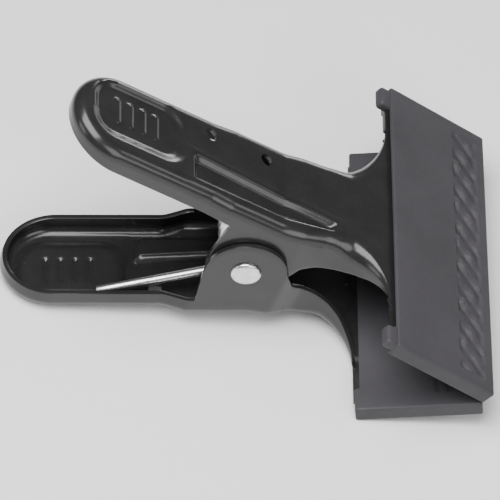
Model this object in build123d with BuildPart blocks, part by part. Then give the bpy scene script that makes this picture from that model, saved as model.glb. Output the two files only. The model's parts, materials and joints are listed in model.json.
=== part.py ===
from build123d import *
import os
from math import atan2, cos, degrees, radians, sin, tan

os.makedirs("parts", exist_ok=True)

# Wide-jaw spring clamp: two pressed-steel levers on one rivet, held shut by a torsion spring.
# Every lever is drawn in its own frame: pivot axis at the origin, x towards the jaws,
# z outward from the plane that halves the clamp.  The lower lever uses that frame turned
# half a turn about x, so both levers come from the same functions.

# Sheet and lever side profile (outer surface)
SHEET = 1.5
HANDLE_SLOPE = radians(17.6)
HANDLE_OFFSET = 21.1
HANDLE_END_X = -66.2
JAW_SLOPE = radians(22.2)
JAW_BEND = (40.0, 17.5)
PLATE_TIP_X = 72.5
BEND_RADIUS = 14.0
FOLD_RADIUS = 3.2

# Lever plan (half widths about the centre line)
GRIP_HALF = 15.4
EAR_HALF_UPPER = 16.1
EAR_GAP = 0.4
EAR_HALF_LOWER = EAR_HALF_UPPER + EAR_GAP + SHEET
JOGGLE_REAR_X = -19.5
JOGGLE_FRONT_X = -12.5
EAR_FRONT_X = 12.5
WAIST_X = 19.5
WAIST_HALF = 15.2
PLAN_RADII = (5.0, 5.0, 5.0, 5.0)
FLARE_START_X = 20.7
PLATE_REAR_X = 39.4
PLATE_HALF = 45.5

# Flanges and ears
FLANGE_DEPTH = 7.5
EAR_RADIUS = 12.3
EAR_REAR_X = -10.6
FRONT_EDGE = [(11.9, 0.0), (15.8, 3.8), (20.0, 5.6), (24.4, 6.6), (28.7, 8.0), (32.7, 10.2),
              (36.4, 13.4), (38.4, 15.4)]

# Pressed details of the sheet
PRESS_DEPTH = 1.1
RECESS_X = (-58.5, -30.0)
RECESS_Y = (-7.0, 10.6)
GROOVE = [(-25.0, -2.4), (9.0, -4.6), (22.0, -8.4), (19.5, -10.2), (-25.0, -10.0)]
GROOVE_ROUND = 1.0
GRIP_BAR_X = [-51.5, -47.2, -42.9, -38.6]
GRIP_BAR = (1.8, 9.0, 0.55)
HOLE_DIAMETER = 4.2
HOLE_PITCH = 20.2
HOLE_MIDDLE = -17.3
HOLE_Y = 8.4

# Pivot rivet, washer and sleeve
SHANK_DIAMETER = 6.0
RUNNING_CLEARANCE = 0.08
HEAD_DIAMETER = 9.2
HEAD_HEIGHT = 1.5
HEAD_ROUND = 1.2
WASHER_DIAMETER = 10.4
WASHER_THICKNESS = 0.9
SLEEVE_DIAMETER = 10.2
SLEEVE_END_GAP = 0.15

# Torsion spring
WIRE_DIAMETER = 2.8
COIL_RADIUS = 7.0
COIL_PITCH = 3.05
COIL_WHOLE_TURNS = 5
LEG_ANGLE = radians(29.7)
LEG_LENGTH = 48.0

# Jaw pads, drawn in the jaw frame: s along the plate, n outward from its outer surface
PAD_LENGTH = 38.3
PAD_CORNER = 1.2
PAD_EDGE = 0.6
MOUTH_DEPTH = 1.6
MOUTH_HALF = 42.0
PAD_HALF = 50.0
PAD_OUT = 2.2
PAD_IN = 3.18
PLATE_LENGTH = 35.3
LUG = (3.6, 6.4, 2.6)
LUG_BOTTOM = -1.0
LUG_ROUND = 1.1
TREAD_MIDDLE = 29.2
TREAD_PITCH = 7.5
TREAD_COUNT = 12
TREAD_RIB = (9.6, 2.8, 0.6)
TREAD_ANGLE = -42
GRIP_GROOVE_MIDDLE = 30.0
GRIP_GROOVE_PITCH = 3.4
GRIP_GROOVE_COUNT = 4
GRIP_GROOVE = (1.2, 88.0, 0.6)

# Resting attitude: the clamp lies on the lower handle end and the rear edge of the lower pad
REST_TILT = radians(12.279)
PIVOT_X = -1.19
PIVOT_Z = 27.68

# Half length of the cutting and trimming extrusions
REACH = 75.0

forward = Vector(cos(REST_TILT), 0, -sin(REST_TILT))
outward = Vector(sin(REST_TILT), 0, cos(REST_TILT))
UPPER = Plane(origin=(PIVOT_X, 0, PIVOT_Z), x_dir=forward, z_dir=outward)
LOWER = Plane(origin=(PIVOT_X, 0, PIVOT_Z), x_dir=forward, z_dir=outward * -1)


def side_of(base):
    """Plane of a lever's side profile, set to one side: sketch x forward, sketch y outward."""
    return Plane(origin=base.origin, x_dir=base.x_dir, z_dir=base.y_dir * -1).offset(-REACH)


def floor_of(base):
    """Plane of a lever's plan, set below everything it cuts."""
    return base.offset(-REACH)


def handle_height(x, depth=0.0):
    """Height of the handle plane at x, a given depth below its outer surface."""
    return (HANDLE_OFFSET - depth - x * sin(HANDLE_SLOPE)) / cos(HANDLE_SLOPE)


def jaw_height(x, depth=0.0):
    """Height of the jaw plate at x, a given depth below its outer surface."""
    return JAW_BEND[1] - (x - JAW_BEND[0]) * tan(JAW_SLOPE) - depth / cos(JAW_SLOPE)


def surface(depth):
    """Corner points of the lever's side profile, a given depth below the outer surface."""
    rear = -90.0
    front = 95.0
    foot_x = HANDLE_OFFSET * sin(HANDLE_SLOPE)
    foot_z = HANDLE_OFFSET * cos(HANDLE_SLOPE)
    mid_slope = atan2(foot_z - JAW_BEND[1], JAW_BEND[0] - foot_x)
    rear_half = (HANDLE_SLOPE + mid_slope) / 2
    front_half = (JAW_SLOPE + mid_slope) / 2
    rear_miter = depth / cos((HANDLE_SLOPE - mid_slope) / 2)
    front_miter = depth / cos((JAW_SLOPE - mid_slope) / 2)
    bend_rear = (foot_x - rear_miter * sin(rear_half), foot_z - rear_miter * cos(rear_half))
    bend_front = (
        JAW_BEND[0] - front_miter * sin(front_half),
        JAW_BEND[1] - front_miter * cos(front_half),
    )
    return [
        (rear, handle_height(rear, depth)),
        bend_rear,
        bend_front,
        (front, jaw_height(front, depth)),
    ]


def profile_region(base, depth):
    """Face under the lever's profile at a depth, closed by a straight line far below."""
    corners = surface(depth)
    with BuildSketch(side_of(base)) as region:
        with BuildLine():
            top = FilletPolyline(*corners, radius=BEND_RADIUS)
            Polyline(top @ 1, (corners[-1][0], -REACH), (corners[0][0], -REACH), top @ 0)
        make_face()
    return region.sketch


def plan_region(base, ear_half, inset):
    """Plan outline of a lever: rounded grip, joggle, ears, flare and jaw plate."""
    flare_radius = PLATE_REAR_X - FLARE_START_X
    with BuildSketch(floor_of(base)) as region:
        with BuildLine():
            end = CenterArc((HANDLE_END_X + GRIP_HALF, 0), GRIP_HALF, 180, -90)
            FilletPolyline(end @ 1, (JOGGLE_REAR_X, GRIP_HALF), (JOGGLE_FRONT_X, ear_half),
                           (EAR_FRONT_X, ear_half), (WAIST_X, WAIST_HALF),
                           (FLARE_START_X, WAIST_HALF), radius=PLAN_RADII)
            RadiusArc((FLARE_START_X, WAIST_HALF),
                      (PLATE_REAR_X, WAIST_HALF + flare_radius), -flare_radius)
            Polyline((PLATE_REAR_X, WAIST_HALF + flare_radius), (PLATE_REAR_X, PLATE_HALF),
                     (PLATE_TIP_X, PLATE_HALF), (PLATE_TIP_X, 0))
            mirror(about=Plane.XZ)
        make_face()
        if inset:
            offset(amount=-inset, kind=Kind.INTERSECTION, mode=Mode.REPLACE)
    return region.sketch


def is_fold(base, edge):
    """True for the top edges round the handle and the flare, where the sheet is folded."""
    middle = base.to_local_coords(edge.center())
    return middle.Z > 10 and middle.X < PLATE_REAR_X - 1.0


def block(base, ear_half, inset):
    """Solid block of the lever's plan and side profile, set in by a given amount."""
    with BuildPart() as solid:
        add(plan_region(base, ear_half, inset))
        extrude(amount=2 * REACH, dir=base.z_dir)
        add(profile_region(base, inset))
        extrude(amount=2 * REACH, dir=base.y_dir * -1, mode=Mode.INTERSECT)
        folds = solid.edges().filter_by(lambda edge: is_fold(base, edge))
        fillet(folds, radius=FOLD_RADIUS - inset)
    return solid


def pressing(base, outline, top, bottom):
    """Slab of the sheet between two depths, inside a plan outline."""
    with BuildPart() as slab:
        add(outline)
        extrude(amount=2 * REACH, dir=base.z_dir)
        add(profile_region(base, top))
        extrude(amount=2 * REACH, dir=base.y_dir * -1, mode=Mode.INTERSECT)
        add(profile_region(base, bottom))
        extrude(amount=2 * REACH, dir=base.y_dir * -1, mode=Mode.SUBTRACT)
    return slab


def recess_outline(base, grow):
    """Plan outline of the shallow recess in the grip."""
    length = RECESS_X[1] - RECESS_X[0] + 2 * grow
    width = RECESS_Y[1] - RECESS_Y[0] + 2 * grow
    with BuildSketch(floor_of(base)) as outline:
        with Locations(((RECESS_X[0] + RECESS_X[1]) / 2, (RECESS_Y[0] + RECESS_Y[1]) / 2)):
            RectangleRounded(length, width, 6.0 + grow)
    return outline.sketch


def groove_outline(base, grow):
    """Plan outline of the long tapering groove that runs from the grip to the jaw."""
    with BuildSketch(floor_of(base)) as outline:
        with BuildLine():
            Polyline(*GROOVE, close=True)
        make_face()
        fillet(outline.vertices(), radius=GROOVE_ROUND)
        if grow:
            offset(amount=grow, mode=Mode.REPLACE)
    return outline.sketch


def bar_outline(base):
    """Plan outline of the raised cross bars in the grip recess."""
    with BuildSketch(floor_of(base)) as outline:
        with Locations(*[(x, sum(RECESS_Y) / 2) for x in GRIP_BAR_X]):
            RectangleRounded(GRIP_BAR[0], GRIP_BAR[1], 0.8)
    return outline.sketch


def handle_of(base):
    """Frame of a lever's handle: origin over the pivot, x along the handle, z outward."""
    along = base.x_dir * cos(HANDLE_SLOPE) - base.z_dir * sin(HANDLE_SLOPE)
    up = base.x_dir * sin(HANDLE_SLOPE) + base.z_dir * cos(HANDLE_SLOPE)
    return Plane(origin=base.origin + up * HANDLE_OFFSET, x_dir=along, z_dir=up)


def keep_region(base):
    """Side view of what is left of the block: handle flange, ear and fading front flange."""
    rear = -90.0
    tip_x = 95.0
    with BuildSketch(side_of(base)) as region:
        with BuildLine():
            Polyline(
                (rear, handle_height(rear, FLANGE_DEPTH)),
                (EAR_REAR_X, handle_height(EAR_REAR_X, FLANGE_DEPTH)),
                (-EAR_RADIUS, 4.0),
                (-EAR_RADIUS, 0),
                *FRONT_EDGE,
                (PLATE_REAR_X + 1.0, jaw_height(PLATE_REAR_X + 1.0, SHEET)),
                (tip_x, jaw_height(tip_x, SHEET)),
                (tip_x, 60),
                (rear, 60),
                close=True,
            )
        make_face()
        Circle(EAR_RADIUS)
    return region.sketch


def lever(base, ear_half, pivot_hole):
    """One pressed lever, drawn from two nested blocks and trimmed to its flange line."""
    outer = block(base, ear_half, 0.0)
    inner = block(base, ear_half, SHEET)
    kept = keep_region(base)
    trays = []
    hollows = []
    for outline in (recess_outline, groove_outline):
        trays.append(pressing(base, outline(base, 0.6), SHEET / 2, SHEET + PRESS_DEPTH))
        hollows.append(pressing(base, outline(base, 0.0), -2.0, PRESS_DEPTH))
    bar_top = PRESS_DEPTH - GRIP_BAR[2]
    bars = pressing(base, bar_outline(base), bar_top, PRESS_DEPTH + SHEET / 2)
    side = side_of(base)
    with BuildPart() as piece:
        add(outer.part)
        add(inner.part, mode=Mode.SUBTRACT)
        add(kept)
        extrude(amount=2 * REACH, dir=side.z_dir, mode=Mode.INTERSECT)
        for tray, hollow in zip(trays, hollows):
            add(tray.part)
            add(hollow.part, mode=Mode.SUBTRACT)
        add(bars.part)
        with BuildSketch(side):
            Circle(pivot_hole / 2)
        extrude(amount=2 * REACH, mode=Mode.SUBTRACT)
        with BuildSketch(handle_of(base).offset(SHEET)):
            with Locations((HOLE_MIDDLE, HOLE_Y)):
                with GridLocations(HOLE_PITCH, 1, 2, 1):
                    Circle(HOLE_DIAMETER / 2)
        extrude(amount=-3 * SHEET, mode=Mode.SUBTRACT)
    return piece


upper_lever = lever(UPPER, EAR_HALF_UPPER, SHANK_DIAMETER + 2 * RUNNING_CLEARANCE)
upper_lever.part.label = "upper_lever"
lower_lever = lever(LOWER, EAR_HALF_LOWER, SHANK_DIAMETER)
lower_lever.part.label = "lower_lever"


def turned(stations):
    """Solid of revolution about the pivot axis from (radius, y) stations."""
    with BuildPart() as solid:
        with BuildSketch(UPPER):
            with BuildLine():
                Polyline(*stations, close=True)
            make_face()
        revolve(axis=Axis((PIVOT_X, 0, PIVOT_Z), (0, 1, 0)))
    return solid


# Rivet: low domed head on the near side, formed tail on the far side over a plain washer
shank = SHANK_DIAMETER / 2
head = HEAD_DIAMETER / 2
near_face = -EAR_HALF_LOWER
far_face = EAR_HALF_LOWER + WASHER_THICKNESS
rivet_blank = turned([
    (0, near_face - HEAD_HEIGHT),
    (head, near_face - HEAD_HEIGHT),
    (head, near_face),
    (shank, near_face),
    (shank, far_face),
    (0.92 * head, far_face),
    (0.92 * head, far_face + HEAD_HEIGHT),
    (0, far_face + HEAD_HEIGHT),
])
with BuildPart() as pivot_rivet:
    add(rivet_blank.part)
    rims = pivot_rivet.edges().filter_by(GeomType.CIRCLE).sort_by(Axis.Y)
    fillet([rims[0], rims[-1]], radius=HEAD_ROUND)
pivot_rivet.part.label = "pivot_rivet"

rivet_washer = turned([
    (shank, EAR_HALF_LOWER),
    (WASHER_DIAMETER / 2, EAR_HALF_LOWER),
    (WASHER_DIAMETER / 2, far_face),
    (shank, far_face),
])
rivet_washer.part.label = "rivet_washer"

sleeve_half = EAR_HALF_UPPER - SHEET - SLEEVE_END_GAP
pivot_sleeve = turned([
    (shank, -sleeve_half),
    (SLEEVE_DIAMETER / 2, -sleeve_half),
    (SLEEVE_DIAMETER / 2, sleeve_half),
    (shank, sleeve_half),
])
pivot_sleeve.part.label = "pivot_sleeve"

# Torsion spring: close coil round the sleeve, one straight leg along each handle.
# The near leg leaves the underside of the coil and the far leg leaves its top.
coil_turns = COIL_WHOLE_TURNS + (180 - 2 * degrees(LEG_ANGLE)) / 360
coil_width = coil_turns * COIL_PITCH
start_radius = forward * sin(LEG_ANGLE) - outward * cos(LEG_ANGLE)
coil_start = Plane(
    origin=(PIVOT_X, -coil_width / 2, PIVOT_Z), x_dir=start_radius, z_dir=(0, 1, 0)
)
with BuildPart() as coil_and_legs:
    with BuildLine():
        coil = Helix(COIL_PITCH, coil_width, COIL_RADIUS, lefthand=True)
    with BuildSketch(Plane(origin=coil @ 0, z_dir=coil % 0)):
        Circle(WIRE_DIAMETER / 2)
    sweep(path=coil, is_frenet=True)
    with BuildSketch(Plane(origin=coil @ 0, z_dir=(coil % 0) * -1)):
        Circle(WIRE_DIAMETER / 2)
    extrude(amount=LEG_LENGTH)
    with BuildSketch(Plane(origin=coil @ 1, z_dir=coil % 1)):
        Circle(WIRE_DIAMETER / 2)
    extrude(amount=LEG_LENGTH)
with BuildPart() as torsion_spring:
    with Locations(coil_start):
        add(coil_and_legs.part)
torsion_spring.part.label = "torsion_spring"


def jaw_of(base):
    """Frame of a lever's jaw plate: x along the plate to its tip, z outward."""
    along = base.x_dir * cos(JAW_SLOPE) - base.z_dir * sin(JAW_SLOPE)
    up = base.x_dir * sin(JAW_SLOPE) + base.z_dir * cos(JAW_SLOPE)
    corner = base.from_local_coords((JAW_BEND[0], 0, JAW_BEND[1]))
    return Plane(origin=corner, x_dir=along, z_dir=up)


def jaw_pad(base, steel, has_lugs):
    """Moulded pad that sleeves over a jaw plate, with end walls, tread and grip grooves."""
    jaw = jaw_of(base)
    lug_x = (0.2 - LUG[0]) / 2
    lug_y = PAD_HALF - LUG[1] / 2
    with BuildPart() as piece:
        with BuildSketch(jaw.offset(-PAD_IN)):
            with Locations((PAD_LENGTH / 2, 0)):
                Rectangle(PAD_LENGTH, 2 * PAD_HALF)
        extrude(amount=PAD_IN + PAD_OUT)
        upright = piece.edges().filter_by(Axis(jaw.origin, jaw.z_dir))
        fillet(upright.sort_by(Axis(jaw.origin, jaw.x_dir))[-2:], radius=PAD_CORNER)
        outer_face = piece.faces().sort_by(Axis(jaw.origin, jaw.z_dir))[-1]
        fillet(outer_face.edges(), radius=PAD_EDGE)
        if has_lugs:
            with BuildSketch(jaw.offset(LUG_BOTTOM)):
                with Locations((lug_x, lug_y), (lug_x, -lug_y)):
                    RectangleRounded(LUG[0] + 0.2, LUG[1], LUG_ROUND)
            extrude(amount=LUG[2])
        with BuildSketch(jaw.offset(-SHEET)):
            with Locations((PLATE_LENGTH / 2, 0)):
                Rectangle(PLATE_LENGTH, 2 * PLATE_HALF)
        extrude(amount=SHEET, mode=Mode.SUBTRACT)
        with BuildSketch(jaw.offset(-PAD_IN)):
            Rectangle(2 * MOUTH_DEPTH, 2 * MOUTH_HALF)
        extrude(amount=PAD_IN, mode=Mode.SUBTRACT)
        with BuildSketch(jaw.offset(PAD_OUT)):
            with Locations((TREAD_MIDDLE, 0)):
                with GridLocations(1, TREAD_PITCH, 1, TREAD_COUNT):
                    SlotOverall(TREAD_RIB[0], TREAD_RIB[1], rotation=TREAD_ANGLE)
        extrude(amount=TREAD_RIB[2])
        with BuildSketch(jaw.offset(-PAD_IN)):
            with Locations((GRIP_GROOVE_MIDDLE, 0)):
                with GridLocations(GRIP_GROOVE_PITCH, 1, GRIP_GROOVE_COUNT, 1):
                    Rectangle(GRIP_GROOVE[0], GRIP_GROOVE[1])
        extrude(amount=GRIP_GROOVE[2], mode=Mode.SUBTRACT)
        add(steel.part, mode=Mode.SUBTRACT)
    return piece


upper_jaw_pad = jaw_pad(UPPER, upper_lever, True)
upper_jaw_pad.part.label = "upper_jaw_pad"
lower_jaw_pad = jaw_pad(LOWER, lower_lever, False)
lower_jaw_pad.part.label = "lower_jaw_pad"

export_step(upper_lever.part, "parts/upper_lever.step")
export_step(lower_lever.part, "parts/lower_lever.step")
export_step(pivot_rivet.part, "parts/pivot_rivet.step")
export_step(rivet_washer.part, "parts/rivet_washer.step")
export_step(pivot_sleeve.part, "parts/pivot_sleeve.step")
export_step(torsion_spring.part, "parts/torsion_spring.step")
export_step(upper_jaw_pad.part, "parts/upper_jaw_pad.step")
export_step(lower_jaw_pad.part, "parts/lower_jaw_pad.step")
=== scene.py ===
import bpy
import bmesh
import json
import numpy as np
from math import cos, pi, radians, sin, tan
from mathutils import Matrix, Vector


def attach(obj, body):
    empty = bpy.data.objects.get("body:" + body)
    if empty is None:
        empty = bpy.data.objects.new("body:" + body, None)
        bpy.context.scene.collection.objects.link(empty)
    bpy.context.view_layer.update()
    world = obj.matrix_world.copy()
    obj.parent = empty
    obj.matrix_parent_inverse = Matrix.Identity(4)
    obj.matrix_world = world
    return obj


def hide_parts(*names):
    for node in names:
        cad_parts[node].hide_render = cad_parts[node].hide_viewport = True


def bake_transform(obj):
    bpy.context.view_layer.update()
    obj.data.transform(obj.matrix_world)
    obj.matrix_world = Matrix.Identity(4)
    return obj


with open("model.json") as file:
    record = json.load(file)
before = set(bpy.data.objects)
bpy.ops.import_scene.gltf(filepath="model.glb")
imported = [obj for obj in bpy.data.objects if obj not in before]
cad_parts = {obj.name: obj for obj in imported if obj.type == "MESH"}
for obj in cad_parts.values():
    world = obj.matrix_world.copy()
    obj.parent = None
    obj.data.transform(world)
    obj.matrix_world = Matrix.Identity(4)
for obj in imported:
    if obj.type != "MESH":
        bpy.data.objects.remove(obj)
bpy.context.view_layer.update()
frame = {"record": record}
record = frame["record"]
hinge = record["behaviour"]["joints"][0]
PIVOT = Vector(hinge["pos_m"])
MM = 0.001
MERGE = 0.004 * MM
SIGN = {"upper": 1, "lower": -1}


# ---------------------------------------------------------------- materials
def srgb(value):
    return value / 12.92 if value <= 0.04045 else ((value + 0.055) / 1.055) ** 2.4


def grey(value, tint=(1.0, 1.0, 1.0)):
    level = srgb(value)
    return (level * tint[0], level * tint[1], level * tint[2], 1.0)


class Finish:
    """A Principled material with a few short calls for its noise and bump nodes."""

    def __init__(self, name):
        self.material = bpy.data.materials.new(name)
        self.material.use_nodes = True
        self.nodes = self.material.node_tree.nodes
        self.links = self.material.node_tree.links
        self.shader = self.nodes["Principled BSDF"]
        self.place = self.nodes.new("ShaderNodeTexCoord").outputs["Object"]

    def set(self, **values):
        for key, value in values.items():
            self.shader.inputs[key.replace("_", " ")].default_value = value

    def noise(self, scale, detail=4.0, roughness=0.55, stretch=None):
        node = self.nodes.new("ShaderNodeTexNoise")
        node.inputs["Scale"].default_value = scale
        node.inputs["Detail"].default_value = detail
        node.inputs["Roughness"].default_value = roughness
        source = self.place
        if stretch:
            mapping = self.nodes.new("ShaderNodeMapping")
            mapping.inputs["Scale"].default_value = stretch
            self.links.new(source, mapping.inputs["Vector"])
            source = mapping.outputs["Vector"]
        self.links.new(source, node.inputs["Vector"])
        return node.outputs["Fac"]

    def remap(self, source, low, high, to_low, to_high):
        node = self.nodes.new("ShaderNodeMapRange")
        node.inputs["From Min"].default_value = low
        node.inputs["From Max"].default_value = high
        node.inputs["To Min"].default_value = to_low
        node.inputs["To Max"].default_value = to_high
        self.links.new(source, node.inputs["Value"])
        return node.outputs["Result"]

    def mix(self, factor, first, second):
        node = self.nodes.new("ShaderNodeMix")
        node.data_type = "RGBA"
        node.inputs["A"].default_value = first
        node.inputs["B"].default_value = second
        self.links.new(factor, node.inputs["Factor"])
        return node.outputs["Result"]

    def wire(self, source, socket):
        self.links.new(source, self.shader.inputs[socket])

    def bump(self, heights):
        """Chains bumps: each entry is (height output, strength, distance in metres)."""
        normal = None
        for source, strength, distance in heights:
            node = self.nodes.new("ShaderNodeBump")
            node.inputs["Strength"].default_value = strength
            node.inputs["Distance"].default_value = distance
            self.links.new(source, node.inputs["Height"])
            if normal:
                self.links.new(normal, node.inputs["Normal"])
            normal = node.outputs["Normal"]
        self.links.new(normal, self.shader.inputs["Normal"])


def black_paint():
    f = Finish("gloss_black_paint")
    f.set(Specular_IOR_Level=0.4, Coat_Weight=0.15, Coat_Roughness=0.1)
    cloud = f.noise(90.0, 5.0, 0.6)
    f.wire(f.mix(f.remap(cloud, 0.35, 0.7, 0.0, 1.0), grey(0.128), grey(0.15)), "Base Color")
    f.wire(f.remap(f.noise(260.0, 6.0, 0.65), 0.3, 0.7, 0.2, 0.28), "Roughness")
    f.bump([(f.noise(700.0, 2.0), 0.05, 0.0002), (f.noise(70.0, 2.0), 0.06, 0.001)])
    return f.material


def pad_plastic():
    f = Finish("matte_pad_plastic")
    f.set(Specular_IOR_Level=0.35)
    cloud = f.noise(45.0, 5.0, 0.6)
    violet = (1.0, 0.94, 1.06)
    f.wire(f.mix(f.remap(cloud, 0.3, 0.7, 0.0, 1.0), grey(0.205, violet), grey(0.24, violet)), "Base Color")
    f.wire(f.remap(f.noise(300.0, 6.0, 0.65), 0.3, 0.7, 0.55, 0.7), "Roughness")
    f.bump([(f.noise(2600.0, 4.0), 0.25, 0.0001), (f.noise(500.0, 3.0), 0.1, 0.0002)])
    return f.material


def bright_metal(name, low, high, rough_low, rough_high):
    f = Finish(name)
    f.set(Metallic=1.0)
    cloud = f.noise(400.0, 5.0, 0.6)
    f.wire(f.mix(f.remap(cloud, 0.3, 0.7, 0.0, 1.0), grey(low), grey(high)), "Base Color")
    f.wire(f.remap(f.noise(900.0, 5.0, 0.6), 0.3, 0.7, rough_low, rough_high), "Roughness")
    f.bump([(f.noise(1500.0, 2.0), 0.05, 0.0001)])
    return f.material


PAINT = black_paint()
PAD = pad_plastic()
ZINC = bright_metal("bright_zinc", 0.84, 0.92, 0.22, 0.38)
SPRING = bright_metal("spring_wire", 0.9, 0.96, 0.26, 0.38)


# ---------------------------------------------------------------- mesh helpers
def grid_faces(rows, columns, base=0, flip=False):
    """Faces of a grid of points, stored row by row from index base."""
    faces = []
    for r in range(rows - 1):
        for c in range(columns - 1):
            a = base + r * columns + c
            quad = (a, a + 1, a + columns + 1, a + columns)
            faces.append(quad[::-1] if flip else quad)
    return faces


def make_object(name, points, faces, material):
    mesh = bpy.data.meshes.new(name)
    mesh.from_pydata([tuple(p) for p in points], [], faces)
    mesh.update()
    obj = bpy.data.objects.new(name, mesh)
    bpy.context.scene.collection.objects.link(obj)
    mesh.materials.append(material)
    return obj


def clean(obj, merge=MERGE, dissolve=False):
    """Joins points closer than merge, can drop faces that have shrunk away, and turns faces outward."""
    work = bmesh.new()
    work.from_mesh(obj.data)
    bmesh.ops.remove_doubles(work, verts=work.verts, dist=merge)
    if dissolve:
        bmesh.ops.dissolve_degenerate(work, edges=work.edges, dist=merge / 4)
    bmesh.ops.recalc_face_normals(work, faces=work.faces)
    work.to_mesh(obj.data)
    work.free()


def settle(obj, angle=32.0):
    """Applies every modifier, then shades smooth with creases over the angle kept sharp."""
    bpy.context.view_layer.update()
    final = bpy.data.meshes.new_from_object(obj.evaluated_get(bpy.context.evaluated_depsgraph_get()))
    obj.modifiers.clear()
    obj.data = final
    final.shade_smooth()
    work = bmesh.new()
    work.from_mesh(final)
    limit = radians(angle)
    for edge in work.edges:
        edge.smooth = len(edge.link_faces) == 2 and edge.calc_face_angle(0.0) < limit
    work.to_mesh(final)
    work.free()


def rod(name, centre, axis, radius, length, sides=48):
    """Closed cylinder used only to cut holes."""
    work = bmesh.new()
    bmesh.ops.create_cone(work, cap_ends=True, segments=sides, radius1=radius, radius2=radius, depth=length)
    turn = Vector(axis).to_track_quat("Z", "Y").to_matrix().to_4x4()
    bmesh.ops.transform(work, matrix=Matrix.Translation(centre) @ turn, verts=work.verts)
    mesh = bpy.data.meshes.new(name)
    work.to_mesh(mesh)
    work.free()
    obj = bpy.data.objects.new(name, mesh)
    bpy.context.scene.collection.objects.link(obj)
    return obj


def cut(obj, tools):
    for tool in tools:
        step = obj.modifiers.new("cut", "BOOLEAN")
        step.operation = "DIFFERENCE"
        step.solver = "EXACT"
        step.object = tool


def discard(tools):
    for tool in tools:
        bpy.data.objects.remove(tool, do_unlink=True)


# ---------------------------------------------------------------- levers
# Lever frame, in millimetres: pivot axis at the origin, x to the jaws, z outward.
TILT = radians(12.279)
SHEET = 1.5
HANDLE_SLOPE = radians(17.6)
HANDLE_OFFSET = 21.08
HANDLE_END = -66.18
JAW_SLOPE = radians(22.2)
JAW_BEND = (40.0, 17.5)
BEND_RADIUS = 14.0
PLATE_REAR = 39.4
PLATE_TIP = 72.5
PLATE_HALF = 45.5
FOLD = 3.9
FLARE_SOFTER = 2.0
FADE_START = 25.0
GRIP_HALF = 15.4
GRIP_CENTRE = HANDLE_END + GRIP_HALF
JOGGLE_REAR = -19.5
JOGGLE_FRONT = -12.5
EAR_FRONT = 12.5
WAIST_START = 19.5
WAIST = 15.2
PLAN_ROUND = 5.0
FLARE_START = 20.7
EAR = 12.3
EAR_REAR = -10.6
EAR_SHOULDER = 4.0
FLANGE = 7.5
FLANGE_ROWS = 12
EAR_HALF = {"upper": 16.1, "lower": 18.0}
FRONT_EDGE = [
    (11.9, 0.0), (15.8, 3.8), (20.0, 5.6), (24.4, 6.6),
    (28.7, 8.0), (32.7, 10.2), (36.4, 13.4), (38.4, 15.4)]
FRONT_END = FRONT_EDGE[-1][0]

RECESS = (-58.9, -29.6, -7.6, 11.2)
RECESS_ROUND = 6.6
RECESS_DEPTH = 1.3
RECESS_WALL_NEAR = 4.4
RECESS_WALL_FAR = 3.0
BAR_PLACES = (-51.5, -47.2, -42.9, -38.6)
BAR_HALF = 0.9
BAR_ENDS = (-2.2, 6.8)
BAR_ROUND = 0.8
BAR_RISE = 0.5
BAR_WALL = 1.5
GROOVE = [(-25.0, -2.4), (9.0, -4.6), (22.0, -8.4), (21.5, -10.2), (-25.0, -10.0)]
GROOVE_ROUND = 0.45
GROOVE_DEPTH = 1.7
GROOVE_WALL = 2.1
RIDGE_RISE = 0.12
RIDGE_PLACE = 1.9
RIDGE_WIDTH = 1.0

HOLE_PLACES = (-27.4, -7.2)
HOLE_SIDE = 8.4
HOLE_RADIUS = 2.1
PIVOT_HOLE = 3.08
RIM_ROUND = 0.22


def to_row(points, sign):
    """Lever-frame points in millimetres to row-frame points in metres; sign is -1 for the lower lever."""
    p = np.asarray(points, float)
    x, y, z = p[..., 0], p[..., 1] * sign, p[..., 2] * sign
    across = x * cos(TILT) + z * sin(TILT)
    high = z * cos(TILT) - x * sin(TILT)
    return np.stack([PIVOT.x + across * MM, PIVOT.y + y * MM, PIVOT.z + high * MM], -1)


def outward_of(direction, sign):
    return Vector(to_row(direction, sign) - to_row((0, 0, 0), sign)).normalized()


def smooth(t):
    t = np.clip(t, 0.0, 1.0)
    return t * t * (3.0 - 2.0 * t)


def handle_z(x, depth=0.0):
    """Height of the handle's flat at x, or of a line that lies deeper by depth."""
    return (HANDLE_OFFSET - depth - x * sin(HANDLE_SLOPE)) / cos(HANDLE_SLOPE)


def rounded_path(corners, radii, step=0.15):
    """Densely sampled polyline with each inner corner rounded to its radius."""
    points = [np.array(corners[0], float)]
    for before, corner, after, radius in zip(corners, corners[1:], corners[2:], radii):
        corner = np.array(corner, float)
        a = np.array(before, float) - corner
        b = np.array(after, float) - corner
        a /= np.linalg.norm(a)
        b /= np.linalg.norm(b)
        half = np.arccos(np.clip(a @ b, -1, 1)) / 2
        reach = radius / np.tan(half)
        centre = corner + (a + b) / np.linalg.norm(a + b) * radius / np.sin(half)
        start = corner + a * reach - centre
        turn = pi - 2 * half
        side = np.sign(a[0] * b[1] - a[1] * b[0])
        count = max(3, int(radius * turn / step))
        for k in range(count + 1):
            angle = side * -turn * k / count
            c, s = cos(angle), sin(angle)
            points.append(centre + (c * start[0] - s * start[1], s * start[0] + c * start[1]))
    points.append(np.array(corners[-1], float))
    return np.array(points)


foot = (HANDLE_OFFSET * sin(HANDLE_SLOPE), HANDLE_OFFSET * cos(HANDLE_SLOPE))
handle_far = (-90.0, handle_z(-90.0))
jaw_far = (95.0, JAW_BEND[1] - (95.0 - JAW_BEND[0]) * tan(JAW_SLOPE))
PROFILE = rounded_path([handle_far, foot, JAW_BEND, jaw_far], (BEND_RADIUS, BEND_RADIUS))


def crest(x):
    """Height of the outer surface above the pivot at x."""
    return np.interp(x, PROFILE[:, 0], PROFILE[:, 1])


def crest_slope(x):
    return (crest(x + 0.2) - crest(x - 0.2)) / 0.4


def crest_normal(x):
    slope = crest_slope(x)
    size = np.sqrt(1 + slope * slope)
    return -slope / size, 1 / size


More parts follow.
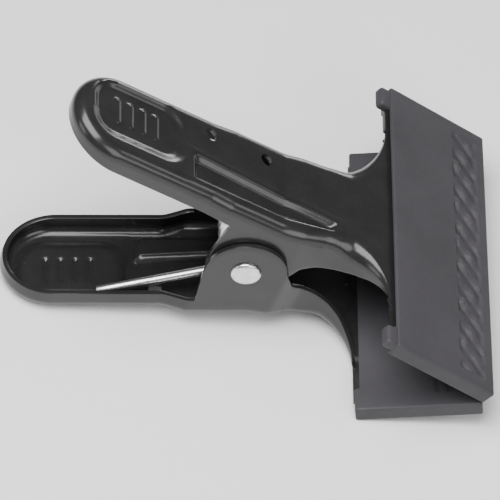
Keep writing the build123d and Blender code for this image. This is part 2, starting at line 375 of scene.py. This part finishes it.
def side_line(ear_half):
    """Half width of the lever against x, from the end of the rounded grip to the jaw plate."""
    corners = [
        (GRIP_CENTRE, GRIP_HALF), (JOGGLE_REAR, GRIP_HALF), (JOGGLE_FRONT, ear_half),
        (EAR_FRONT, ear_half), (WAIST_START, WAIST), (FLARE_START, WAIST)]
    path = rounded_path(corners, (PLAN_ROUND,) * 4)
    radius = PLATE_REAR - FLARE_START
    turn = np.linspace(0, pi / 2, 60)[1:]
    arc = np.stack([FLARE_START + radius * np.sin(turn), WAIST + radius * (1 - np.cos(turn))], -1)
    return np.concatenate([path, arc])


def half_width(side, x):
    return np.interp(x, side[:, 0], side[:, 1])


def box_distance(x, y, x0, x1, y0, y1, radius):
    """Signed distance to a rounded rectangle, negative inside."""
    dx = np.abs(x - (x0 + x1) / 2) - (x1 - x0) / 2 + radius
    dy = np.abs(y - (y0 + y1) / 2) - (y1 - y0) / 2 + radius
    outside = np.hypot(np.maximum(dx, 0), np.maximum(dy, 0))
    return outside + np.minimum(np.maximum(dx, dy), 0) - radius


def wedge_distance(x, y, corners):
    """Signed distance to a convex polygon, slightly rounded; its corners run clockwise seen from outside."""
    worst = np.full(np.shape(x), -1e9)
    for (ax, ay), (bx, by) in zip(corners, corners[1:] + corners[:1]):
        size = np.hypot(bx - ax, by - ay)
        edge = ((x - ax) * -(by - ay) + (y - ay) * (bx - ax)) / size
        worst = np.logaddexp(worst / GROOVE_ROUND, edge / GROOVE_ROUND) * GROOVE_ROUND
    return worst


def pressed_depth(x, y):
    """How far the sheet is pressed in at a plan point: grip recess with cross bars, and the long groove."""
    recess = box_distance(x, y, *RECESS, RECESS_ROUND)
    depth = RECESS_DEPTH * smooth(0.5 - recess / np.where(y < 0, RECESS_WALL_NEAR, RECESS_WALL_FAR))
    bars = np.zeros(np.shape(x))
    for place in BAR_PLACES:
        bar = box_distance(x, y, place - BAR_HALF, place + BAR_HALF, *BAR_ENDS, BAR_ROUND)
        bars = np.maximum(bars, BAR_RISE * smooth(0.5 - bar / BAR_WALL))
    groove = wedge_distance(x, y, GROOVE)
    ridge = RIDGE_RISE * np.exp(-((groove - RIDGE_PLACE) / RIDGE_WIDTH) ** 2)
    return np.maximum(depth - bars, GROOVE_DEPTH * smooth(0.5 - groove / GROOVE_WALL)) - ridge


def front_line(x):
    """Lower edge of the fading front flange."""
    xs, zs = zip(*(FRONT_EDGE + [(PLATE_REAR, float(crest(PLATE_REAR)))]))
    return np.interp(x, xs, zs)


def fold_radius(x):
    """Outer radius of the fold: tight round the handle, softer along the flare, gone at the jaw plate."""
    soft = FOLD + FLARE_SOFTER * smooth((x - 21.0) / 8.0)
    room = np.maximum(0.4, 0.55 * (crest(x) - front_line(x)))
    return np.where(np.asarray(x) > FADE_START, np.minimum(soft, room), soft)


def fold_drop(distance, radius, rise):
    """Fall of a rolled edge below the flat, for a flat that rises outward by the given slope."""
    steep = np.sqrt(1 + rise * rise)
    inside = np.clip(radius - distance, -radius, radius)
    arc = rise * (radius - distance) + radius * steep - np.sqrt(np.maximum(radius ** 2 - inside ** 2, 0))
    return np.where(distance < radius * (1 + rise / steep), np.maximum(arc, 0), 0.0)


def outline_rays(side):
    """Rays from outline to spine, as (x, y, spine x, spine y): near side, round the grip, far side."""
    turn = np.radians(np.linspace(90, 270, 97))[1:-1]
    straight = [np.arange(GRIP_CENTRE, -22, 0.45), np.arange(-22, 23, 0.4), np.arange(23, 33, 0.5)]
    flare = side[side[:, 0] > 33.0, 0]
    marks = np.unique(np.concatenate(straight + [flare, [PLATE_REAR]]))
    near = [(x, -half_width(side, x), x, 0.0) for x in marks[::-1]]
    bend = [(GRIP_CENTRE + GRIP_HALF * cos(a), -GRIP_HALF * sin(a), GRIP_CENTRE, 0.0) for a in turn]
    far = [(x, half_width(side, x), x, 0.0) for x in marks]
    return np.array(near + bend + far)


def ray_shares(rays):
    """Shares of the way along each ray, packed closely inside the fold."""
    fold_steps = FOLD * (1 - np.cos(np.radians(np.linspace(0, 90, 9))))
    lean = np.hypot(1.0, np.gradient(rays[:, 1], rays[:, 0] + 1e-9 * np.arange(len(rays))))
    length = np.hypot(rays[:, 0] - rays[:, 2], rays[:, 1] - rays[:, 3])
    shares = []
    for ray, reach, factor in zip(rays, length, lean):
        factor = 1.0 if ray[0] <= GRIP_CENTRE else min(factor, 3.2)
        steps = fold_steps * factor * fold_radius(ray[0]) / FOLD
        inner = np.linspace(steps[-1], reach, 32)[1:]
        shares.append(np.concatenate([steps, inner]) / reach)
    return np.array(shares)


def nearest_outline(x, y, outline):
    """Distance from each plan point to the outline, and the x part of the outline's outward normal there."""
    place = np.arange(len(outline))
    halves = np.arange(0, len(outline) - 0.6, 0.5)
    fine = np.stack([np.interp(halves, place, outline[:, k]) for k in (0, 1)], -1)
    run = np.gradient(fine, axis=0)
    normal_x = -run[:, 1] / np.hypot(run[:, 0], run[:, 1])
    distance = np.zeros(x.shape)
    outward_x = np.zeros(x.shape)
    for k in range(x.shape[1]):
        gap = np.hypot(x[:, k, None] - fine[None, :, 0], y[:, k, None] - fine[None, :, 1])
        distance[:, k] = gap.min(1)
        outward_x[:, k] = normal_x[gap.argmin(1)]
    distance[:, 0] = 0.0
    return distance, outward_x


def pressed_top(rays):
    """Outer surface along every ray, from the outline to the spine, with its fold and its pressings."""
    shares = ray_shares(rays)
    x = rays[:, :1] + (rays[:, 2:3] - rays[:, :1]) * shares
    y = rays[:, 1:2] + (rays[:, 3:4] - rays[:, 1:2]) * shares
    distance, outward_x = nearest_outline(x, y, rays[:, :2])
    z = crest(x) - fold_drop(distance, fold_radius(x), crest_slope(x) * outward_x)
    nx, nz = crest_normal(x)
    depth = pressed_depth(x, y) * smooth(distance / 2.4)
    z = z - depth * nz
    z = np.where(x > FADE_START, np.maximum(z, front_line(x)), z)
    return np.stack([x - depth * nx, y, z], -1)


def flange_edge(outline, side):
    """Lower edge of the flange under each outline point. It rounds the ear between handle and flare."""
    corner = (EAR_REAR, handle_z(EAR_REAR, FLANGE))
    arc = np.radians(np.linspace(180, 360 - 14, 60))
    ear = [corner, (-EAR, EAR_SHOULDER)] + [(EAR * cos(a), EAR * sin(a)) for a in arc] + FRONT_EDGE[1:]
    front_mark = len(ear) - len(FRONT_EDGE) + 2
    ear = np.array(ear)
    run = np.concatenate([[0], np.cumsum(np.hypot(*np.diff(ear, axis=0).T))])
    whole = run[-1]
    edge = []
    for px, py in outline:
        if px <= GRIP_CENTRE + 0.01:
            edge.append((px, py, handle_z(px, FLANGE)))
            continue
        if px <= EAR_REAR:
            bx = px
            bz = handle_z(px, FLANGE)
        elif px >= FRONT_END:
            bx = px
            bz = front_line(px)
        else:
            share = np.interp(px, (EAR_REAR, EAR_FRONT, FRONT_END), (0.0, run[front_mark] / whole, 1.0))
            bx = np.interp(share * whole, run, ear[:, 0])
            bz = np.interp(share * whole, run, ear[:, 1])
        edge.append((bx, np.sign(py) * half_width(side, bx), bz))
    return np.array(edge)


def lever_shell(ear_half):
    """Outer surface of a lever as rows of points: from the spine out to the outline, then down the flange."""
    side = side_line(ear_half)
    rays = outline_rays(side)
    top = pressed_top(rays)
    edge = flange_edge(rays[:, :2], side)
    rows = [top[:, k] for k in range(top.shape[1])][::-1]
    start = top[:, 0]
    for share in np.linspace(0, 1, FLANGE_ROWS + 1)[1:]:
        row = start + (edge - start) * share
        on_side = row[:, 0] > GRIP_CENTRE
        row[on_side, 1] = np.sign(start[on_side, 1]) * half_width(side, row[on_side, 0])
        rows.append(row)
    return np.array(rows)


def plate_rows(shell):
    """Jaw plate under the pad, a flat grid whose rear row meets the shell's first and last rays."""
    tops = shell.shape[0] - FLANGE_ROWS
    near = np.sort(shell[:tops, 0, 1])
    far = np.sort(shell[:tops, -1, 1])[1:]
    wing = np.linspace(near[0], -PLATE_HALF, 8)[:0:-1]
    xs = np.linspace(PLATE_REAR, PLATE_TIP, 12)
    ys = np.concatenate([wing, near, far, -wing[::-1]])
    x, y = np.meshgrid(xs, ys, indexing="ij")
    return np.stack([x, y, crest(x)], -1)


def face_sheet_out(obj, sign):
    """Reverses an open sheet whose faces look inward, judged on the flat of the handle."""
    flat = Vector(to_row((-30.0, 13.0, crest(-30.0)), sign))
    work = bmesh.new()
    work.from_mesh(obj.data)
    probe = min(work.faces, key=lambda face: (face.calc_center_median() - flat).length)
    if probe.normal.dot(outward_of((0, 0, 1), sign)) < 0:
        bmesh.ops.reverse_faces(work, faces=work.faces)
    work.to_mesh(obj.data)
    work.free()


def lever_drills(sign):
    """Cutters for the two handle holes and the pivot hole."""
    up = np.array([sin(HANDLE_SLOPE), 0, cos(HANDLE_SLOPE)])
    along = np.array([cos(HANDLE_SLOPE), 0, -sin(HANDLE_SLOPE)])
    drills = []
    for place in HOLE_PLACES:
        middle = up * HANDLE_OFFSET + along * place + np.array([0, HOLE_SIDE, 0])
        centre = Vector(to_row(middle, sign))
        drills.append(rod("drill", centre, outward_of(up, sign), HOLE_RADIUS * MM, 12 * MM))
    drills.append(rod("pivot_drill", PIVOT, (0, 1, 0), PIVOT_HOLE * MM, 60 * MM))
    return drills


def lever(name, which):
    sign = SIGN[which]
    shell = lever_shell(EAR_HALF[which])
    plate = plate_rows(shell)
    faces = grid_faces(shell.shape[0], shell.shape[1])
    points = shell.reshape(-1, 3)
    faces += grid_faces(plate.shape[0], plate.shape[1], len(points), True)
    points = np.concatenate([points, plate.reshape(-1, 3)])
    obj = make_object(name, to_row(points, sign), faces, PAINT)
    clean(obj, dissolve=True)
    face_sheet_out(obj, sign)
    thick = obj.modifiers.new("sheet", "SOLIDIFY")
    thick.thickness = SHEET * MM
    thick.offset = -1.0
    thick.use_quality_normals = True
    drills = lever_drills(sign)
    cut(obj, drills)
    rim = obj.modifiers.new("rim", "BEVEL")
    rim.width = RIM_ROUND * MM
    rim.segments = 2
    rim.limit_method = "ANGLE"
    rim.angle_limit = radians(50)
    settle(obj)
    discard(drills)
    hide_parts(which + "_lever")
    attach(obj, which)


lever("pressed_lever_upper", "upper")
lever("pressed_lever_lower", "lower")


# ---------------------------------------------------------------- turned pieces
SHANK = 3.0
HEAD = 4.6
HEAD_HEIGHT = 1.5
TAIL = 0.92 * HEAD
WASHER = 0.9
SLEEVE = 5.1
CORE = 0.001


def turned(name, node, stations, material, sides=72):
    """Solid of revolution about the pivot axis from closed (radius, y) stations in millimetres."""
    loop = np.array(stations, float)
    turn = np.linspace(0, 2 * pi, sides, endpoint=False)
    points = np.stack([
        PIVOT.x + MM * loop[:, None, 0] * np.cos(turn),
        PIVOT.y + MM * loop[:, None, 1] + 0 * turn,
        PIVOT.z + MM * loop[:, None, 0] * np.sin(turn),
    ], -1).reshape(-1, 3)
    count = len(loop)
    faces = []
    for r in range(count):
        for c in range(sides):
            n = (c + 1) % sides
            q = (r + 1) % count
            faces.append((r * sides + c, r * sides + n, q * sides + n, q * sides + c))
    obj = make_object(name, points, faces, material)
    clean(obj, MERGE / 4, True)
    settle(obj, 38.0)
    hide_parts(node)
    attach(obj, "lower")


def dome(radius, base, height, direction, rim=0.3, steps=14):
    """(radius, y) stations of a low rounded head from its rim to its centre."""
    share = np.cos(np.linspace(0, pi / 2, steps)) ** 0.75
    rise = (1 - share ** 2.6) ** 0.45
    return [(radius * k, base + direction * (rim + (height - rim) * h)) for k, h in zip(share, rise)]


ear_face = EAR_HALF["lower"]
washer_out = ear_face + WASHER
near_head = dome(HEAD, -ear_face, HEAD_HEIGHT, -1)
far_head = dome(TAIL, washer_out, HEAD_HEIGHT, 1)[::-1]
core = [(CORE, near_head[-1][1]), (CORE, far_head[0][1])]
shank = [(TAIL, washer_out), (SHANK, washer_out), (SHANK, -ear_face), (HEAD, -ear_face)]
turned("rivet", "pivot_rivet", near_head[:-1] + core + far_head[1:] + shank, ZINC)

ring = [(SHANK, 0.0), (5.0, 0.0), (5.2, 0.2), (5.2, 0.65), (5.12, 0.83), (4.95, WASHER), (SHANK, WASHER)]
turned("washer", "rivet_washer", [(r, ear_face + y) for r, y in ring], ZINC)

tube_end = EAR_HALF["upper"] - SHEET - 0.15
turned("sleeve", "pivot_sleeve", [
    (SHANK, -tube_end), (SLEEVE - 0.2, -tube_end), (SLEEVE, -tube_end + 0.2),
    (SLEEVE, tube_end - 0.2), (SLEEVE - 0.2, tube_end), (SHANK, tube_end)], ZINC)


# ---------------------------------------------------------------- spring
WIRE = 1.4
COIL = 7.0
COIL_TURNS = 5
COIL_PITCH = 3.05
LEG_ANGLE = radians(29.7)
LEG = 48.0
WIRE_TIP = [(-0.6, 0.02), (-0.56, 0.45), (-0.4, 0.78), (-0.15, 0.96)]


def spring_path():
    """Centre line of the spring in the upper lever frame: near leg, coil, far leg."""
    turn = 2 * pi * COIL_TURNS + pi - 2 * LEG_ANGLE
    width = turn / (2 * pi) * COIL_PITCH
    theta = np.linspace(0, turn, 170)
    coil = np.stack([
        COIL * np.sin(LEG_ANGLE + theta),
        -width / 2 + COIL_PITCH * theta / (2 * pi),
        -COIL * np.cos(LEG_ANGLE + theta)], -1)
    first = np.array([cos(LEG_ANGLE), COIL_PITCH / (2 * pi * COIL), sin(LEG_ANGLE)])
    last = np.array([-cos(LEG_ANGLE), COIL_PITCH / (2 * pi * COIL), sin(LEG_ANGLE)])
    reach = np.linspace(LEG - 0.6, 1.5, 14)[:, None]
    near = coil[0] - first / np.linalg.norm(first) * reach
    far = coil[-1] + last / np.linalg.norm(last) * reach[::-1]
    return np.concatenate([near, coil, far])


def tube(name, path, radius, material, sides=18):
    """Round wire along a path, with rounded tips that stand out past both of its ends."""
    tangent = np.gradient(path, axis=0)
    tangent /= np.linalg.norm(tangent, axis=1)[:, None]
    first = np.array([0.0, 1.0, 0.0]) - tangent * tangent[:, 1:2]
    first /= np.linalg.norm(first, axis=1)[:, None]
    second = np.cross(tangent, first)
    last = len(path) - 1
    rings = [(path[0] + tangent[0] * push, share, 0) for push, share in WIRE_TIP]
    rings += [(spot, 1.0, k) for k, spot in enumerate(path)]
    rings += [(path[last] - tangent[last] * push, share, last) for push, share in WIRE_TIP[::-1]]
    turn = np.linspace(0, 2 * pi, sides, endpoint=False)
    points = []
    for centre, share, k in rings:
        circle = np.cos(turn)[:, None] * first[k] + np.sin(turn)[:, None] * second[k]
        points.append(centre + radius * share * circle)
    faces = []
    for r in range(len(rings) - 1):
        for c in range(sides):
            n = (c + 1) % sides
            faces.append((r * sides + c, r * sides + n, (r + 1) * sides + n, (r + 1) * sides + c))
    faces.append(tuple(range(sides))[::-1])
    faces.append(tuple((len(rings) - 1) * sides + c for c in range(sides)))
    obj = make_object(name, to_row(np.concatenate(points), 1), faces, material)
    clean(obj)
    settle(obj, 50.0)
    return obj


spring = tube("spring", spring_path(), WIRE, SPRING)
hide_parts("torsion_spring")
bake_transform(spring)


# ---------------------------------------------------------------- jaw pads
PAD_LENGTH = 38.3
PAD_HALF = 50.0
PAD_OUT = 2.2
PAD_IN = 3.18
PAD_ROUND = 0.75
SLOT_LENGTH = 35.3
SLOT_GAP = 0.02
SLOT_REAR = -4
MOUTH_HALF = 42.0
MOUTH_DEPTH = 1.6
LIP_DEPTH = 2.6
LIP_TOP = 1.2
TREAD_PITCH = 7.5
TREAD_ROWS = [(1.0, 26.4, 1.9), (1.0, 30.2, 1.9), (0.8, 33.8, 1.5)]
TREAD_HEIGHT = 1.45
TREAD_SUNK = 0.85
GRIP_PLACES = (24.9, 28.3, 31.7, 35.1)
GRIP_DEPTH = 0.6
GRIP_WIDTH = 0.62
LUG_MIDDLES = (-46.3, 45.6)
LUG_HALF = 3.5
LUG_ROUND = 1.25


def spaced(low, high, radius, step):
    """Grid marks from low to high, fine inside the rounded edges."""
    edge = radius * (1 - np.cos(np.linspace(0, pi / 2, 6)))
    count = max(2, int(round((high - low - 2 * radius) / step)) + 1)
    middle = np.linspace(low + radius, high - radius, count)
    return np.unique(np.round(np.concatenate([low + edge, middle, high - edge]), 5))


def soft_block(low, high, radius, steps):
    """Vertices and faces of a box with rounded edges, on a regular grid."""
    marks = [spaced(a, b, radius, step) for a, b, step in zip(low, high, steps)]
    points = []
    faces = []
    for axis in range(3):
        others = [k for k in range(3) if k != axis]
        for side in (0, -1):
            u, v = np.meshgrid(marks[others[0]], marks[others[1]], indexing="ij")
            spot = np.zeros(u.shape + (3,))
            spot[..., others[0]] = u
            spot[..., others[1]] = v
            spot[..., axis] = marks[axis][side]
            faces += grid_faces(u.shape[0], u.shape[1], sum(len(p) for p in points))
            points.append(spot.reshape(-1, 3))
    spot = np.concatenate(points)
    core = np.clip(spot, np.array(low) + radius, np.array(high) - radius)
    away = spot - core
    size = np.linalg.norm(away, axis=1)[:, None]
    return core + away / np.maximum(size, 1e-9) * np.minimum(size, radius), faces


def tread(s, y):
    """Height of the rope-like tread on the outer face."""
    lean = (s - 29.5) * 0.9
    rib = 0.5 + 0.5 * np.cos(2 * pi * ((y + lean) / TREAD_PITCH))
    twist = 0.5 + 0.5 * np.cos(2 * pi * ((y * 0.55 - lean) / TREAD_PITCH + 0.25))
    row = sum(weight * np.exp(-((s - place) / width) ** 2) for weight, place, width in TREAD_ROWS)
    band = smooth((s - 24.6) / 1.2) * smooth((35.2 - s) / 1.2) * smooth((46.5 - np.abs(y)) / 2.0)
    relief = smooth((rib - 0.42) / 0.38) * (0.35 + 0.65 * twist * np.minimum(row, 1.0))
    return band * (TREAD_HEIGHT * relief - TREAD_SUNK)


def grip(s, y):
    """Depth of the grooves across the front half of the clamping face."""
    groove = sum(np.exp(-((s - place) / GRIP_WIDTH) ** 2) for place in GRIP_PLACES)
    return GRIP_DEPTH * groove * smooth((44.5 - np.abs(y)) / 0.8)


def jaw_to_lever(points):
    """Jaw frame (s along the plate, y, n outward) to the lever frame."""
    s, y, n = np.asarray(points, float).T
    return np.stack([
        JAW_BEND[0] + s * cos(JAW_SLOPE) + n * sin(JAW_SLOPE), y,
        JAW_BEND[1] - s * sin(JAW_SLOPE) + n * cos(JAW_SLOPE)], -1)


def jaw_cutter(name, low, high, sign):
    points, faces = soft_block(low, high, 0.01, (50.0, 50.0, 50.0))
    obj = make_object(name, to_row(jaw_to_lever(points), sign), faces, PAD)
    clean(obj)
    return obj


def add_lugs(obj, sign):
    """Two rounded lugs behind the plate's shoulders."""
    work = bmesh.new()
    work.from_mesh(obj.data)
    for middle in LUG_MIDDLES:
        low = (-3.5, middle - LUG_HALF, -2.0)
        high = (1.5, middle + LUG_HALF, 1.7)
        points, faces = soft_block(low, high, LUG_ROUND, (0.8, 0.8, 0.8))
        spots = [work.verts.new(p) for p in to_row(jaw_to_lever(points), sign)]
        made = [work.faces.new([spots[k] for k in face]) for face in faces]
        bmesh.ops.remove_doubles(work, verts=spots, dist=MERGE)
        made = [face for face in made if face.is_valid]
        bmesh.ops.recalc_face_normals(work, faces=made)
        for face in made:
            face.smooth = True
    work.to_mesh(obj.data)
    work.free()


def jaw_pad(name, which, has_lugs):
    sign = SIGN[which]
    low = (0, -PAD_HALF, -PAD_IN)
    high = (PAD_LENGTH, PAD_HALF, PAD_OUT)
    points, faces = soft_block(low, high, PAD_ROUND, (0.42, 0.48, 1.2))
    s, y, n = points.T
    points[:, 2] += np.where(n > PAD_OUT - 0.02, tread(s, y), 0.0)
    points[:, 2] += np.where(n < -PAD_IN + 0.02, grip(s, y), 0.0)
    obj = make_object(name, to_row(jaw_to_lever(points), sign), faces, PAD)
    clean(obj)
    slot_half = PLATE_HALF + SLOT_GAP
    slot = ((SLOT_REAR, -slot_half, -SHEET - SLOT_GAP), (SLOT_LENGTH, slot_half, SLOT_GAP))
    mouth = ((SLOT_REAR, -MOUTH_HALF, -PAD_IN - 3), (MOUTH_DEPTH, MOUTH_HALF, -SHEET / 2))
    lip_gap = ((SLOT_REAR, -MOUTH_HALF, -SHEET / 2), (LIP_DEPTH, MOUTH_HALF, LIP_TOP))
    tools = [
        jaw_cutter("plate_slot", *slot, sign),
        jaw_cutter("mouth", *mouth, sign),
        jaw_cutter("lip_gap", *lip_gap, sign),
    ]
    cut(obj, tools)
    settle(obj, 36.0)
    discard(tools)
    if has_lugs:
        add_lugs(obj, sign)
    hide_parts(which + "_jaw_pad")
    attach(obj, which)


jaw_pad("moulded_pad_upper", "upper", True)
jaw_pad("moulded_pad_lower", "lower", False)


# ---------------------------------------------------------------- floor, camera and light
FLOOR_HALF = 1.5
floor_finish = Finish("pale_floor")
floor_finish.set(Base_Color=(0.86, 0.86, 0.86, 1.0), Roughness=0.6, Specular_IOR_Level=0.2)
floor_corners = [(-FLOOR_HALF, -FLOOR_HALF, 0), (FLOOR_HALF, -FLOOR_HALF, 0),
                 (FLOOR_HALF, FLOOR_HALF, 0), (-FLOOR_HALF, FLOOR_HALF, 0)]
floor = make_object("floor", floor_corners, [(0, 1, 2, 3)], floor_finish.material)

CAMERA_AZIMUTH = radians(-7.68)
CAMERA_ELEVATION = radians(51.05)
CAMERA_ROLL = radians(9.38)
CAMERA_DISTANCE = 1.5555
CAMERA_LENS = 371.5
TARGET = PIVOT + Vector((0.0017, -0.00559, -0.0043))

back = Vector((
    sin(CAMERA_AZIMUTH) * cos(CAMERA_ELEVATION),
    -cos(CAMERA_AZIMUTH) * cos(CAMERA_ELEVATION),
    sin(CAMERA_ELEVATION),
))
level_right = Vector((cos(CAMERA_AZIMUTH), sin(CAMERA_AZIMUTH), 0))
level_up = back.cross(level_right)
right = level_right * cos(CAMERA_ROLL) + level_up * sin(CAMERA_ROLL)
up = back.cross(right)
camera_data = bpy.data.cameras.new("camera")
camera_data.lens = CAMERA_LENS
camera_data.sensor_width = 36.0
camera_data.clip_end = 20.0
camera = bpy.data.objects.new("camera", camera_data)
camera.matrix_world = Matrix((
    (right.x, up.x, back.x, 0),
    (right.y, up.y, back.y, 0),
    (right.z, up.z, back.z, 0),
    (0, 0, 0, 1),
))
camera.location = TARGET + back * CAMERA_DISTANCE
bpy.context.scene.collection.objects.link(camera)
bpy.context.scene.camera = camera


def area_light(name, place, size, power):
    """Square soft light at a place in metres from the pivot, aimed at the pivot."""
    data = bpy.data.lights.new(name, "AREA")
    data.shape = "SQUARE"
    data.size = size
    data.energy = power
    lamp = bpy.data.objects.new(name, data)
    lamp.location = PIVOT + Vector(place)
    lamp.rotation_euler = Vector(place).to_track_quat("Z", "Y").to_euler()
    bpy.context.scene.collection.objects.link(lamp)


area_light("overhead", (-0.2, -0.15, 0.85), 0.7, 17.0)
area_light("front_strip", (0.45, -0.75, 0.55), 0.6, 5.0)
area_light("left_low", (-0.8, -0.25, 0.3), 0.35, 1.2)
area_light("right_strip", (0.85, -0.1, 0.55), 0.25, 0.8)
area_light("far_strip", (0.4, 0.85, 0.15), 0.24, 1.6)

world = bpy.data.worlds.new("studio")
world.use_nodes = True
sky = world.node_tree.nodes["Background"]
sky.inputs["Color"].default_value = (1.0, 1.0, 1.0, 1.0)
sky.inputs["Strength"].default_value = 0.08
bpy.context.scene.world = world
